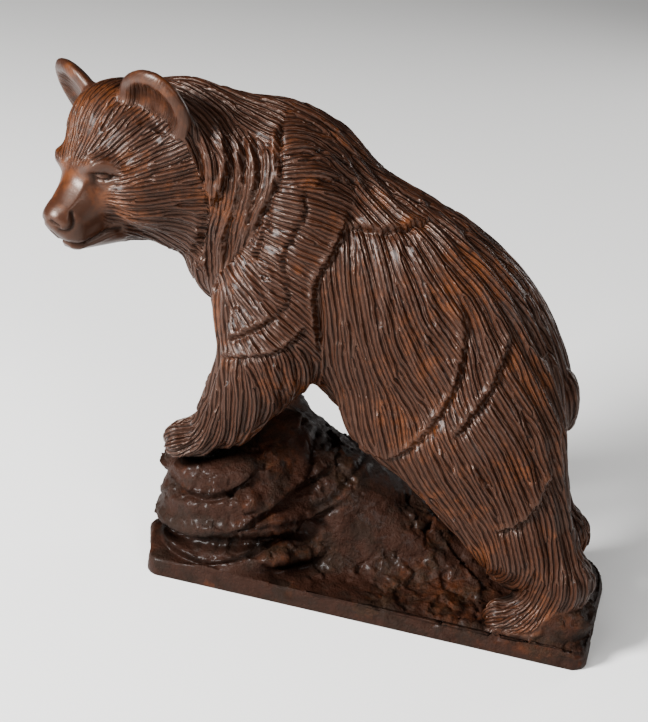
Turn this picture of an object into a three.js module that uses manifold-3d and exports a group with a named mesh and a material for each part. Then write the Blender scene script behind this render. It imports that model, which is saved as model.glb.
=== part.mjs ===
// A bear with its front paws on a boulder, cast in one piece with its rocky base.
// Millimetres, +Z up. The origin is the centre of the flat underside.
// The bear faces -X. Its left side faces -Y, and its head is turned that way.

import * as THREE from 'three';
import { mergeVertices } from 'three/addons/utils/BufferGeometryUtils.js';
import Module from 'manifold-3d';

// Driving sizes
const FIGURE_HEIGHT = 217; // from the underside to the tips of the ears
const BASE_LENGTH = 192;
const BASE_WIDTH = 86;
const BASE_EDGE_HEIGHT = 9; // the plain side of the base, below the rock
const BASE_CORNER_RADIUS = 7; // in plan, at the bear's left
const BASE_FAR_RADIUS = 22; // in plan, at the bear's right
const LOCK_RELIEF = 2.4; // the step where a lock of fur lies over the next
const CRACK_RELIEF = 3; // the step at a crack in the rock
const TRIANGLES = 9700;

// The bear and its rock are drawn at this height, and scale with the figure.
const DRAWN_HEIGHT = 217;
const unit = FIGURE_HEIGHT / DRAWN_HEIGHT;
const at = (x, y, z) => [x * unit, y * unit, z * unit];

// Pose of the head: turned to the bear's left, nose down, and leaning to its right
const RADIANS = Math.PI / 180;
const HEAD_TURN = 59 * RADIANS;
const HEAD_DROP = 22.5 * RADIANS;
const HEAD_LEAN = 7.5 * RADIANS;
const SKULL = at(-123, -22, 177);

// Masses. A mass has its distance from a point, a ball that bounds it, and how far it flows into the rest.
// A ball is an ellipsoid that tilts about Y. A limb tapers between two joints, and wide is its girth along Y
// as a share of its girth across.

function lump(ox, oy, oz, sx, sy, sz) {
  const [a, b, c] = [ox / sx, oy / sy, oz / sz];
  const near = Math.sqrt(a * a + b * b + c * c);
  const slope = Math.sqrt((a / sx) ** 2 + (b / sy) ** 2 + (c / sz) ** 2);
  return slope < 1e-9 ? -Math.min(sx, sy, sz) : (near * (near - 1)) / slope;
}

function ball(centre, size, tilt = 0, blend = 6) {
  const [cx, cy, cz] = centre;
  const [sx, sy, sz] = size.map((s) => s * unit);
  const cos = Math.cos(tilt * RADIANS);
  const sin = Math.sin(tilt * RADIANS);
  const distance = (x, y, z) => {
    const dx = x - cx;
    const dz = z - cz;
    return lump(dx * cos + dz * sin, y - cy, dz * cos - dx * sin, sx, sy, sz);
  };
  return { centre, reach: Math.max(sx, sy, sz), distance, blend: blend * unit };
}

function limb(from, fromRadius, to, toRadius, wide = 1, blend = 6) {
  const [ax, ay, az] = from;
  const [bx, by, bz] = [to[0] - ax, to[1] - ay, to[2] - az];
  const lengthSquared = bx * bx + by * by + bz * bz;
  const [ra, rb] = [fromRadius * unit, toRadius * unit];
  const distance = (x, y, z) => {
    const [px, py, pz] = [x - ax, y - ay, z - az];
    const t = Math.min(1, Math.max(0, (px * bx + py * by + pz * bz) / lengthSquared));
    const r = ra + (rb - ra) * t;
    return lump(px - bx * t, py - by * t, pz - bz * t, r, r * wide, r);
  };
  const centre = [ax + bx / 2, ay + by / 2, az + bz / 2];
  const reach = Math.sqrt(lengthSquared) / 2 + Math.max(ra, rb) * Math.max(1, wide);
  return { centre, reach, distance, blend: blend * unit };
}

// The same mass on both sides of the body.
const pair = (make) => [make(-1), make(1)];

function flow(a, b, blend) {
  const h = Math.max(0, blend - Math.abs(a - b)) / blend;
  return Math.min(a, b) - (h * h * blend) / 4;
}

function joined(masses, x, y, z, start = Infinity) {
  let d = start;
  for (const mass of masses) {
    const [cx, cy, cz] = mass.centre;
    const away = Math.sqrt((x - cx) ** 2 + (y - cy) ** 2 + (z - cz) ** 2) - mass.reach;
    if (away > d + mass.blend) continue;
    const own = mass.distance(x, y, z);
    d = d === Infinity ? own : flow(d, own, mass.blend);
  }
  return d;
}

const cutFrom = (d, mass, x, y, z) => -flow(-d, mass.distance(x, y, z), mass.blend);

const smooth = (t) => {
  const s = Math.min(1, Math.max(0, t));
  return s * s * (3 - 2 * s);
};

// Carved edges, drawn in side view as points along x and z.
// The side on the left of the way along lies on top.

const EDGE_REACH = 24 * unit;

function edge(...points) {
  const path = new THREE.CatmullRomCurve3(points.map(([x, z]) => new THREE.Vector3(x * unit, 0, z * unit)));
  const dots = path.getPoints(points.length * 3);
  const box = new THREE.Box3().setFromPoints(dots).expandByScalar(EDGE_REACH);
  return { dots, box };
}

// How far a point stands on top of an edge, or below it when negative. It fades towards the ends of the edge.
function stepAt({ dots, box }, x, z, rise, fall) {
  if (x < box.min.x || x > box.max.x || z < box.min.z || z > box.max.z) return 0;
  let nearest = Infinity;
  let across = 0;
  let along = 0;
  for (let i = 0; i < dots.length - 1; i++) {
    const [ax, az] = [dots[i].x, dots[i].z];
    const [bx, bz] = [dots[i + 1].x - ax, dots[i + 1].z - az];
    const t = Math.min(1, Math.max(0, ((x - ax) * bx + (z - az) * bz) / (bx * bx + bz * bz)));
    const gap = Math.hypot(x - ax - bx * t, z - az - bz * t);
    if (gap >= nearest) continue;
    nearest = gap;
    across = bx * (z - az) - bz * (x - ax) >= 0 ? gap : -gap;
    along = (i + t) / (dots.length - 1);
  }
  const fade = smooth(along / 0.15) * smooth((1 - along) / 0.15);
  const [sharp, top, foot] = [1.4 * unit, 7 * unit, 4 * unit];
  if (Math.abs(across) < sharp) return fade * ((rise - fall) / 2 + ((rise + fall) / 2) * (across / sharp));
  return across > 0 ? fade * rise * Math.exp((sharp - across) / top)
    : -fade * fall * Math.exp((sharp + across) / foot);
}

const stepsAt = (edges, x, z, rise, fall) => edges.reduce((sum, e) => sum + stepAt(e, x, z, rise, fall), 0);

// The body, from the rump forward

function torso() {
  return [
    ball(at(-37, 0, 144), [42, 31, 40.5], -40, 14),
    ball(at(-1.5, 0, 122), [53.5, 36, 48], -42, 16),
    ball(at(35, 0, 107.5), [44, 32, 31], -62, 16),
    ball(at(-59, 0, 173), [21.5, 20, 28], 0, 14),
    ball(at(-76, 0, 140), [22.5, 24, 24.5], 0, 14),
    ball(at(68.5, 0, 98), [5.5, 7, 14], 3, 2),
  ];
}

function neck() {
  return [
    limb(at(-55, 0, 168.5), 31, at(-98, -12, 180), 30, 0.86, 14),
    ball(at(-96, -10, 160), [14, 17, 23], -26, 8),
  ];
}

function limbRoots() {
  return pair((side) => [
    ball(at(-47, side * 19, 157), [25, 16, 39], 12, 8),
    ball(at(-53, side * 22, 122), [25, 15, 26], 10, 8),
    ball(at(32, side * 17, 92.5), [35.5, 18, 35], -56, 10),
    ball(at(5, side * 20, 81.5), [25, 14, 18], -22, 8),
  ]).flat();
}

const FORELEGS = [
  { elbow: at(-51, -23, 106), wrist: at(-68, -26, 73), paw: at(-79, -27, 63), toes: at(-86, -30, 61) },
  { elbow: at(-53, 23, 105), wrist: at(-76, 24, 74), paw: at(-80, 24, 68), toes: at(-87, 24, 65) },
];

function foreleg({ elbow, wrist, paw, toes }) {
  return [limb(elbow, 21.5, wrist, 13, 0.85, 8), limb(paw, 8.5, toes, 7.5, 1.25, 5)];
}

const HINDLEGS = [
  {
    knee: at(42, -22, 77), ankle: at(63.5, -26, 43.5), thickness: [34, 21],
    hock: at(81, -27, 31), ball: at(72, -31, 15), toes: at(58, -34, 12),
  },
  {
    knee: at(36, 22, 77), ankle: at(56, 24, 44), thickness: [30, 18],
    hock: at(74, 24, 26), ball: at(64, 27, 16), toes: at(51, 29, 12),
  },
];

function hindleg({ knee, ankle, thickness, hock, ball: foot, toes }) {
  return [
    limb(knee, thickness[0], ankle, thickness[1], 0.57, 8),
    limb(ankle, 15, hock, 11, 0.9, 6),
    limb(hock, 11, foot, 8.5, 1.15, 6),
    limb(foot, 8.5, toes, 6.5, 1.35, 5),
  ];
}

const bodyMasses = [
  ...torso(), ...neck(), ...limbRoots(), ...FORELEGS.flatMap(foreleg), ...HINDLEGS.flatMap(hindleg),
];

const neckLocks = [
  edge([-85, 195], [-82, 180], [-79, 165], [-75, 171], [-73, 185], [-79, 199]),
  edge([-74, 138], [-73, 154], [-68, 167], [-67, 181], [-71, 197]),
  edge([-63, 153], [-62, 168], [-61, 181], [-66, 195]),
  edge([-62, 153], [-57, 166], [-52, 180], [-54, 190], [-57, 201]),
];
const sideLocks = [
  edge([-28, 110], [-31, 127], [-32, 142], [-26, 157], [-23, 173]),
  edge([-66, 112], [-57, 118], [-46, 126]),
  edge([-70, 103], [-58, 107], [-43, 113], [-34, 124]),
  edge([-24, 165], [-10, 164], [1, 167], [12, 171]),
  edge([-12, 76], [3, 71], [18, 87], [28, 109], [29, 130], [24, 145]),
  edge([30, 88], [37, 101], [43, 114], [46, 133]),
  edge([51, 52], [60, 57], [67, 66], [71, 82]),
];

// Locks fade out towards the spine and the belly, where they run under.
function locks(x, y, z) {
  const outward = smooth((Math.abs(y) - 8 * unit) / (10 * unit));
  if (outward === 0) return 0;
  const [rise, fall] = [0.4 * LOCK_RELIEF, 0.6 * LOCK_RELIEF];
  return outward * (stepsAt(neckLocks, x, z, rise, fall) + stepsAt(sideLocks, x, z, rise, fall));
}

// The head, in its own frame: forward, to the side, and up

function intoHead(x, y, z) {
  const [dx, dy, dz] = [x - SKULL[0], y - SKULL[1], z - SKULL[2]];
  const level = -dx * Math.cos(HEAD_TURN) - dy * Math.sin(HEAD_TURN);
  const side = dx * Math.sin(HEAD_TURN) - dy * Math.cos(HEAD_TURN);
  const forward = level * Math.cos(HEAD_DROP) - dz * Math.sin(HEAD_DROP);
  const up = level * Math.sin(HEAD_DROP) + dz * Math.cos(HEAD_DROP);
  const [cos, sin] = [Math.cos(HEAD_LEAN), Math.sin(HEAD_LEAN)];
  return [forward, side * cos + up * sin, up * cos - side * sin];
}

const headMasses = [
  ball(at(-6, 0, 3), [22.5, 27, 26], 0, 8),
  ball(at(-2, 14, -10), [20, 15, 18], 0, 8),
  ball(at(10, 0, 5), [11, 16, 9], 0, 6),
  ball(at(15, 10, 6), [6, 6, 3.5], 0, 4),
  limb(at(15.5, 0, -7), 14, at(30.5, 0, -11), 10, 0.95, 6),
  limb(at(5, 0, -24), 11.5, at(31, 0, -20.5), 5.5, 1, 5),
  ball(at(36.5, 0, -8.5), [4, 6, 4], 0, 3),
];
const eyeHollow = ball(at(19, 14, 1), [4.5, 2.5, 2.5], 0, 1.5);
const eyeball = ball(at(17, 12.5, 0.5), [3.2, 2.6, 2.4], 0, 0.6);
const nostril = ball(at(38.5, 4.5, -10), [2, 1.8, 1.5], 0, 1);
const mouth = [[at(38, 0, -17.5), at(31, 8, -19.5)], [at(31, 8, -19.5), at(16, 11.5, -24)]]
  .map(([front, back]) => limb(front, 1.2, back, 1.2, 1, 1));

// An ear is a thick disc that leans outward, hollowed in front.
const EAR_CENTRE = new THREE.Vector3(...at(-9, 26.8, 19.6));
const EAR_LEAN = 37 * RADIANS;
const EAR_TURN = 14 * RADIANS;
const earTip = new THREE.Vector3(0, Math.sin(EAR_LEAN), Math.cos(EAR_LEAN));
const earFace = new THREE.Vector3(Math.cos(EAR_TURN), Math.sin(EAR_TURN), 0);
earFace.projectOnPlane(earTip).normalize();
const earSide = new THREE.Vector3().crossVectors(earTip, earFace);
const inEar = new THREE.Vector3();

function ear(forward, aside, up) {
  inEar.set(forward, aside, up).sub(EAR_CENTRE).divideScalar(unit);
  const [along, across, out] = [inEar.dot(earTip), inEar.dot(earSide), inEar.dot(earFace)];
  const wide = 1 - 0.12 * Math.min(1, Math.max(-1, along / 18));
  const disc = lump(along, across / wide, out, 18, 17.5, 5);
  const hollow = lump(along - 1, across / wide, out - 4.5, 13, 12.5, 4.5);
  return -flow(-disc, hollow, 2) * unit;
}

function head(forward, side, up) {
  const aside = Math.abs(side);
  let d = joined(headMasses, forward, aside, up);
  for (const hole of [eyeHollow, nostril, ...mouth]) d = cutFrom(d, hole, forward, aside, up);
  d = flow(d, eyeball.distance(forward, aside, up), eyeball.blend);
  return flow(d, ear(forward, aside, up), 3 * unit);
}

// The ruff ends in a step behind the cheeks, where it lies over the neck.
function ruff(forward, side, up) {
  const across = (forward + 9 * unit - 0.0026 * (Math.min(0, up) ** 2) / unit) / unit;
  const span = smooth((Math.abs(side) / unit - 14) / 10) * smooth((8 - up / unit) / 8)
    * smooth((up / unit + 66) / 10);
  if (span === 0) return 0;
  const step = across > 1.4 ? 0.4 * Math.exp((1.4 - across) / 8)
    : across < -1.4 ? -0.6 * Math.exp((1.4 + across) / 4.5) : -0.1 + 0.5 * (across / 1.4);
  return span * LOCK_RELIEF * step;
}

const HEAD_BLEND = 9 * unit;
const HEAD_REACH = 62 * unit;

function bear(x, y, z) {
  let d = joined(bodyMasses, x, y, z);
  if (Math.abs(d) < 12 * unit) d -= locks(x, y, z);
  const away = Math.hypot(x - SKULL[0], y - SKULL[1], z - SKULL[2]) - HEAD_REACH;
  if (away > d + HEAD_BLEND) return d;
  const [forward, side, up] = intoHead(x, y, z);
  return flow(d, head(forward, side, up), HEAD_BLEND) - ruff(forward, side, up);
}

// The rock: a plain-sided base, a hillside that falls to the tail end, and a cracked boulder in front

const UNDERCUT = 4 * unit; // the rock runs on below the underside until it is cut flat
const OVERHANG = 8; // the most that the boulder stands out over the sides of the base

// How far a point lies outside the base in plan.
function outsideBase(x, y) {
  const r = y < 0 ? BASE_CORNER_RADIUS : BASE_FAR_RADIUS;
  const ax = Math.max(0, Math.abs(x) - (BASE_LENGTH / 2 - r));
  const ay = Math.max(0, Math.abs(y) - (BASE_WIDTH / 2 - r));
  return Math.hypot(ax, ay) - r;
}

const rockMasses = [
  limb(at(-56, 9, 33), 34, at(63, 10, -10), 22, 0.95, 14),
  ball(at(-55, 24, 56), [9, 9, 12], 0, 4),
  ball(at(-70, 22, 46), [24, 18, 17], 0, 6),
  ball(at(-71, -10, 47), [30, 27, 10], 8, 4),
  ball(at(-68, -12, 37), [33, 29, 10], 11, 6),
  ball(at(-65, -13, 27), [37, 30, 10], 10, 6),
  ball(at(-63, -13, 12), [40, 30, 10], 8, 6),
  ball(at(79, -24, 14), [17, 18, 12], 20, 5),
];

const cracks = [
  edge([-97, 43], [-81, 40], [-67, 42], [-57, 47], [-51, 54]),
  edge([-98, 24], [-78, 21], [-59, 26], [-38, 43], [-19, 53]),
  edge([-98, 13], [-80, 12], [-62, 13], [-41, 23], [-14, 41]),
];

function rock(x, y, z) {
  const outside = outsideBase(x, y);
  const plinth = Math.max(outside, z - BASE_EDGE_HEIGHT, -z - UNDERCUT);
  let d = Math.max(joined(rockMasses, x, y, z, plinth), outside - OVERHANG);
  const outward = smooth((-y - 4 * unit) / (10 * unit));
  if (Math.abs(d) < 12 * unit) d -= outward * stepsAt(cracks, x, z, 0.4 * CRACK_RELIEF, 0.6 * CRACK_RELIEF);
  return Math.max(d, -z - UNDERCUT);
}

const FOOTING = 1.2 * unit; // how softly the paws meet the rock

function sculpture(x, y, z) {
  return flow(bear(x, y, z), rock(x, y, z), FOOTING);
}

// Meshing: the surface where the distance is nought, cut from small tetrahedra

const CELL = 1.9 * unit;
const BLOCK = 6;

function gridOver(low, high) {
  const counts = low.map((l, i) => Math.ceil((high[i] - l) / CELL / BLOCK) * BLOCK + 1);
  const [nx, ny, nz] = counts;
  return { low, counts, index: (i, j, k) => (k * ny + j) * nx + i, size: nx * ny * nz };
}

// Blocks that the surface doesn't reach are told inside from outside by their middle alone.
function sampled(distance, grid) {
  const values = new Float32Array(grid.size).fill(Infinity);
  const [nx, ny, nz] = grid.counts;
  const half = (BLOCK * CELL) / 2;
  const reach = half * Math.sqrt(3) * 2; // twice the half diagonal, because deep inside a mass d runs high
  const overBlock = (visit) => {
    for (let c = 0; c <= BLOCK; c++)
      for (let b = 0; b <= BLOCK; b++)
        for (let a = 0; a <= BLOCK; a++) visit(a, b, c);
  };
  for (let k = 0; k < nz - 1; k += BLOCK)
    for (let j = 0; j < ny - 1; j += BLOCK)
      for (let i = 0; i < nx - 1; i += BLOCK) {
        const [x, y, z] = [i, j, k].map((n, axis) => grid.low[axis] + n * CELL);
        const middle = distance(x + half, y + half, z + half);
        overBlock((a, b, c) => {
          const n = grid.index(i + a, j + b, k + c);
          if (Number.isFinite(values[n])) return;
          if (Math.abs(middle) < reach) values[n] = distance(x + a * CELL, y + b * CELL, z + c * CELL);
          else if (middle < 0) values[n] = -Infinity;
        });
      }
  return values;
}

// A cube is six tetrahedra round its long diagonal. The bits of a corner are its steps along x, y and z.
const TETRAHEDRA = [[0, 1, 3, 7], [0, 3, 2, 7], [0, 2, 6, 7], [0, 6, 4, 7], [0, 4, 5, 7], [0, 5, 1, 7]];
const cornerAt = (c) => new THREE.Vector3(c & 1, (c >> 1) & 1, (c >> 2) & 1);

// The polygon that parts the inside corners from the outside ones, as pairs of corners, facing outward.
function parting(corners, insideBits) {
  const inside = corners.filter((_, n) => (insideBits >> n) & 1);
  const outside = corners.filter((_, n) => !((insideBits >> n) & 1));
  if (!inside.length || !outside.length) return [];
  const ring = inside.length === 1 ? outside.map((c) => [inside[0], c])
    : outside.length === 1 ? inside.map((c) => [c, outside[0]])
      : [[inside[0], outside[0]], [inside[0], outside[1]], [inside[1], outside[1]], [inside[1], outside[0]]];
  const middle = ring.map(([a, b]) => cornerAt(a).add(cornerAt(b)).divideScalar(2));
  const face = new THREE.Vector3().crossVectors(middle[1].sub(middle[0]), middle[2].sub(middle[0]));
  const outward = cornerAt(outside[0]).sub(cornerAt(inside[0]));
  return face.dot(outward) > 0 ? ring : ring.reverse();
}
const PARTINGS = TETRAHEDRA.map((corners) => Array.from({ length: 16 }, (_, bits) => parting(corners, bits)));

function surfaceOf(distance, low, high) {
  const grid = gridOver(low, high);
  const values = sampled(distance, grid);
  const [nx, ny, nz] = grid.counts;
  const step = Array.from({ length: 8 }, (_, c) => grid.index(c & 1, (c >> 1) & 1, (c >> 2) & 1));
  const made = new Map();
  const positions = [];
  const triangles = [];

  const crossing = (i, j, k, start, from, to) => {
    const [a, b] = from < to ? [from, to] : [to, from];
    const key = (start + step[a]) * 8 + (a ^ b);
    const found = made.get(key);
    if (found !== undefined) return found;
    const [va, vb] = [values[start + step[a]], values[start + step[b]]];
    const t = Math.min(0.97, Math.max(0.03, va / (va - vb)));
    [i, j, k].forEach((n, axis) => {
      const [sa, sb] = [(a >> axis) & 1, (b >> axis) & 1];
      positions.push(low[axis] + (n + sa + (sb - sa) * t) * CELL);
    });
    made.set(key, made.size);
    return made.size - 1;
  };

  for (let k = 0; k < nz - 1; k++)
    for (let j = 0; j < ny - 1; j++)
      for (let i = 0; i < nx - 1; i++) {
        const start = grid.index(i, j, k);
        const inside = step.map((s) => values[start + s] < 0);
        if (inside.every((v) => v === inside[0])) continue;
        TETRAHEDRA.forEach((corners, n) => {
          const bits = corners.reduce((sum, c, m) => sum + (inside[c] ? 1 << m : 0), 0);
          const ring = PARTINGS[n][bits].map(([a, b]) => crossing(i, j, k, start, a, b));
          for (let m = 1; m < ring.length - 1; m++) triangles.push(ring[0], ring[m], ring[m + 1]);
        });
      }
  return { positions: Float64Array.from(positions), triangles: Int32Array.from(triangles) };
}

// Thinning: edges close up one by one, the least felt first, until few enough triangles are left.
// A vertex keeps the sum of the planes round it, as the ten figures of a symmetric 4 by 4 matrix.

function planesRound({ positions, triangles }) {
  const planes = new Float64Array((positions.length / 3) * 10);
  const [a, b, c] = [new THREE.Vector3(), new THREE.Vector3(), new THREE.Vector3()];
  for (let f = 0; f < triangles.length; f += 3) {
    [a, b, c].forEach((v, n) => v.fromArray(positions, triangles[f + n] * 3));
    const normal = b.clone().sub(a).cross(c.clone().sub(a));
    const area = normal.length() / 2;
    if (area < 1e-9) continue;
    normal.normalize();
    const p = [normal.x, normal.y, normal.z, -normal.dot(a)];
    for (let n = 0; n < 3; n++) {
      let slot = triangles[f + n] * 10;
      for (let i = 0; i < 4; i++) for (let j = i; j < 4; j++) planes[slot++] += area * p[i] * p[j];
    }
  }
  return planes;
}

// Where two joined vertices would best meet, and the strain of it. Flat spots hold it near the middle.
function meeting(planes, positions, u, v, spot) {
  const q = spot.sum;
  for (let i = 0; i < 10; i++) q[i] = planes[u * 10 + i] + planes[v * 10 + i];
  const [ux, uy, uz] = [positions[u * 3], positions[u * 3 + 1], positions[u * 3 + 2]];
  const [vx, vy, vz] = [positions[v * 3], positions[v * 3 + 1], positions[v * 3 + 2]];
  const span = (ux - vx) ** 2 + (uy - vy) ** 2 + (uz - vz) ** 2;
  const hold = 1e-3 * (q[0] + q[4] + q[7]) + 1e-9;
  const [a, b, c, d, e, f] = [q[0] + hold, q[1], q[2], q[4] + hold, q[5], q[7] + hold];
  const [mx, my, mz] = [hold * (ux + vx) / 2, hold * (uy + vy) / 2, hold * (uz + vz) / 2];
  const [rx, ry, rz] = [mx - q[3], my - q[6], mz - q[8]];
  const [k0, k1, k2] = [d * f - e * e, c * e - b * f, b * e - c * d];
  const whole = a * k0 + b * k1 + c * k2;
  const x = (k0 * rx + k1 * ry + k2 * rz) / whole;
  const y = (k1 * rx + (a * f - c * c) * ry + (b * c - a * e) * rz) / whole;
  const z = (k2 * rx + (b * c - a * e) * ry + (a * d - b * b) * rz) / whole;
  const strain = q[0] * x * x + q[4] * y * y + q[7] * z * z + q[9]
    + 2 * (q[1] * x * y + q[2] * x * z + q[3] * x + q[5] * y * z + q[6] * y + q[8] * z);
  spot.x = x;
  spot.y = y;
  spot.z = z;
  spot.cost = strain + 1e-3 * unit * unit * span;
}

// A queue of joined pairs that gives back the one with the least cost.
// The ages of a pair are kept with it, and show whether it has changed since.
class Queue {
  constructor(room) {
    this.costs = new Float64Array(room);
    this.pairs = new Int32Array(room * 3);
    this.size = 0;
  }

  place(i, cost, u, v, ages) {
    this.costs[i] = cost;
    this.pairs[i * 3] = u;
    this.pairs[i * 3 + 1] = v;
    this.pairs[i * 3 + 2] = ages;
  }

  move(from, to) {
    const [u, v, ages] = this.pairs.subarray(from * 3, from * 3 + 3);
    this.place(to, this.costs[from], u, v, ages);
  }

  add(cost, u, v, ages) {
    let i = this.size++;
    for (let up = (i - 1) >> 1; i > 0 && this.costs[up] > cost; up = (i - 1) >> 1) {
      this.move(up, i);
      i = up;
    }
    this.place(i, cost, u, v, ages);
  }

  take() {
    const least = this.pairs.slice(0, 3);
    const last = --this.size;
    const cost = this.costs[last];
    let i = 0;
    for (let down = 1; down < last; down = 2 * i + 1) {
      if (down + 1 < last && this.costs[down + 1] < this.costs[down]) down++;
      if (this.costs[down] >= cost) break;
      this.move(down, i);
      i = down;
    }
    this.move(last, i);
    return least;
  }
}

// Whether a triangle turns over, or nearly, when its first corner moves to the spot.
function turnsOver(p, moved, b, c, spot) {
  const [bx, by, bz] = [p[b * 3], p[b * 3 + 1], p[b * 3 + 2]];
  const [ex, ey, ez] = [p[c * 3] - bx, p[c * 3 + 1] - by, p[c * 3 + 2] - bz];
  const [ux, uy, uz] = [p[moved * 3] - bx, p[moved * 3 + 1] - by, p[moved * 3 + 2] - bz];
  const [vx, vy, vz] = [spot.x - bx, spot.y - by, spot.z - bz];
  const [ax, ay, az] = [ey * uz - ez * uy, ez * ux - ex * uz, ex * uy - ey * ux];
  const [wx, wy, wz] = [ey * vz - ez * vy, ez * vx - ex * vz, ex * vy - ey * vx];
  const size = Math.sqrt((ax * ax + ay * ay + az * az) * (wx * wx + wy * wy + wz * wz));
  return ax * wx + ay * wy + az * wz < 0.2 * size + 1e-9;
}

function thinned({ positions, triangles }, target) {
  const planes = planesRound({ positions, triangles });
  const around = Array.from({ length: positions.length / 3 }, () => []);
  triangles.forEach((v, n) => around[v].push(Math.floor(n / 3)));
  const age = new Int32Array(around.length);
  const gone = new Uint8Array(triangles.length / 3);
  const spot = { sum: new Float64Array(10), x: 0, y: 0, z: 0, cost: 0 };
  const queue = new Queue(triangles.length * 3);

  const neighbours = (v) => {
    const found = [];
    for (const f of around[v])
      for (let n = f * 3; n < f * 3 + 3; n++)
        if (triangles[n] !== v && !found.includes(triangles[n])) found.push(triangles[n]);
    return found;
  };
  const offer = (u, v) => {
    meeting(planes, positions, u, v, spot);
    queue.add(spot.cost, u, v, age[u] + age[v]);
  };
  const spoils = (v, other) => around[v].some((f) => {
    const turn = triangles[f * 3] === v ? 0 : triangles[f * 3 + 1] === v ? 1 : 2;
    const b = triangles[f * 3 + ((turn + 1) % 3)];
    const c = triangles[f * 3 + ((turn + 2) % 3)];
    return b !== other && c !== other && turnsOver(positions, v, b, c, spot);
  });
  const close = (u, v, shared) => {
    positions.set([spot.x, spot.y, spot.z], u * 3);
    for (let i = 0; i < 10; i++) planes[u * 10 + i] += planes[v * 10 + i];
    for (const f of around[v]) {
      const corners = triangles.subarray(f * 3, f * 3 + 3);
      if (corners.includes(u)) gone[f] = 1;
      else corners[corners.indexOf(v)] = u;
    }
    around[u] = [...around[u], ...around[v]].filter((f, n, all) => !gone[f] && all.indexOf(f) === n);
    for (const w of shared) around[w] = around[w].filter((f) => !gone[f]);
    age[v] = -1;
    age[u]++;
  };

  for (let n = 0; n < triangles.length; n++) {
    const [u, v] = [triangles[n], triangles[n % 3 === 2 ? n - 2 : n + 1]];
    if (u < v) offer(u, v);
  }
  for (let left = gone.length; left > target && queue.size > 0;) {
    const [u, v, ages] = queue.take();
    if (age[u] < 0 || age[v] < 0 || age[u] + age[v] !== ages) continue;
    const beside = neighbours(u);
    const besideOther = neighbours(v);
    const shared = besideOther.filter((w) => beside.includes(w));
    if (shared.length !== 2 || beside.length + besideOther.length < 8) continue;
    meeting(planes, positions, u, v, spot);
    if (spoils(u, v) || spoils(v, u)) continue;
    close(u, v, shared);
    left -= 2;
    for (const w of neighbours(u)) offer(u, w);
  }
  return { positions, triangles: triangles.filter((_, n) => !gone[Math.floor(n / 3)]) };
}

// Only the vertices that are still in use, as a solid

const wasm = await Module();
wasm.setup();
const { Manifold, Mesh } = wasm;

function solidOf({ positions, triangles }) {
  const used = new Map();
  for (const v of triangles) if (!used.has(v)) used.set(v, used.size);
  const vertProperties = new Float32Array(used.size * 3);
  for (const [from, to] of used) vertProperties.set(positions.subarray(from * 3, from * 3 + 3), to * 3);
  const triVerts = Uint32Array.from(triangles, (v) => used.get(v));
  return Manifold.ofMesh(new Mesh({ numProp: 3, vertProperties, triVerts }));
}

function boxSolid(length, width, height, middle) {
  const box = new THREE.BoxGeometry(length, width, height).translate(...middle);
  box.deleteAttribute('normal');
  box.deleteAttribute('uv');
  const whole = mergeVertices(box);
  return solidOf({ positions: whole.attributes.position.array, triangles: whole.index.array });
}

function geometryOf(solid) {
  const { vertProperties, triVerts } = solid.getMesh();
  const geometry = new THREE.BufferGeometry();
  geometry.setAttribute('position', new THREE.BufferAttribute(vertProperties, 3));
  geometry.setIndex(new THREE.BufferAttribute(triVerts, 1));
  geometry.computeVertexNormals();
  return geometry;
}

// The casting, cut flat underneath

const ROOM = 6 * unit; // between the casting and the ends of the grid that it is meshed on

function casting() {
  const [nose, nearEar] = at(-162, -54, 0);
  const [heel, farFlank, earTips] = at(97, 44, 218);
  const front = Math.min(nose, -BASE_LENGTH / 2);
  const back = Math.max(heel, BASE_LENGTH / 2);
  const left = Math.min(nearEar, -BASE_WIDTH / 2);
  const right = Math.max(farFlank, BASE_WIDTH / 2);
  const low = [front - ROOM, left - ROOM, -UNDERCUT - ROOM];
  const high = [back + ROOM, right + ROOM, earTips + ROOM];
  const rough = solidOf(thinned(surfaceOf(sculpture, low, high), TRIANGLES));
  const under = boxSolid(2 * (high[0] - low[0]), 2 * (high[1] - low[1]), 2 * UNDERCUT, [0, 0, -UNDERCUT]);
  return geometryOf(rough.subtract(under));
}

const stainedResin = new THREE.MeshStandardMaterial({ color: '#5a3020', roughness: 0.5 });
const bearOnRock = new THREE.Mesh(casting(), stainedResin);
bearOnRock.name = 'bear_on_rock';

const figurine = new THREE.Group();
figurine.name = 'bear_figurine';
figurine.add(bearOnRock);

export default figurine;
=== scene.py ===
# A bear with its front paws on a boulder, cast in resin in one piece with its rocky base.
# Shapes are drawn in millimetres and become metres when the mesh is made. +Z is up.
# The bear faces -X. Its left side faces -Y, and its head is turned that way.

import math
from functools import partial

import bpy
import numpy as np
from mathutils import Matrix, Vector


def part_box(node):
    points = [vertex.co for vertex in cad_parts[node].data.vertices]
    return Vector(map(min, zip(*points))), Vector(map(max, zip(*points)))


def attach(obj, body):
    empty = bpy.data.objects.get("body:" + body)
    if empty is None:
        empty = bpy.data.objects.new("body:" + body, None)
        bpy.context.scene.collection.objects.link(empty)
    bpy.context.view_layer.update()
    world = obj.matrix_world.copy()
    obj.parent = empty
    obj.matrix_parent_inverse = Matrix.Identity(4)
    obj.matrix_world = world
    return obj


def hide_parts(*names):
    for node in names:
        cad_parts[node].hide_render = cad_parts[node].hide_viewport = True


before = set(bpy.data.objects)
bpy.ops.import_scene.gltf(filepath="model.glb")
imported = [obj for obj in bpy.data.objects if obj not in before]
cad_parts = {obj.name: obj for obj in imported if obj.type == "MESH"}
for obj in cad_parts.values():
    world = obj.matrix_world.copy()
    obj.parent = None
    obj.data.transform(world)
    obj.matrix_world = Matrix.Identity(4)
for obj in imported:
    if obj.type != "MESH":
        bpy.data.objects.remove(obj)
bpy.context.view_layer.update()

# Driving sizes, in millimetres
DRAWN_HEIGHT = 217.28  # from the underside to the tips of the ears, as drawn here
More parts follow.
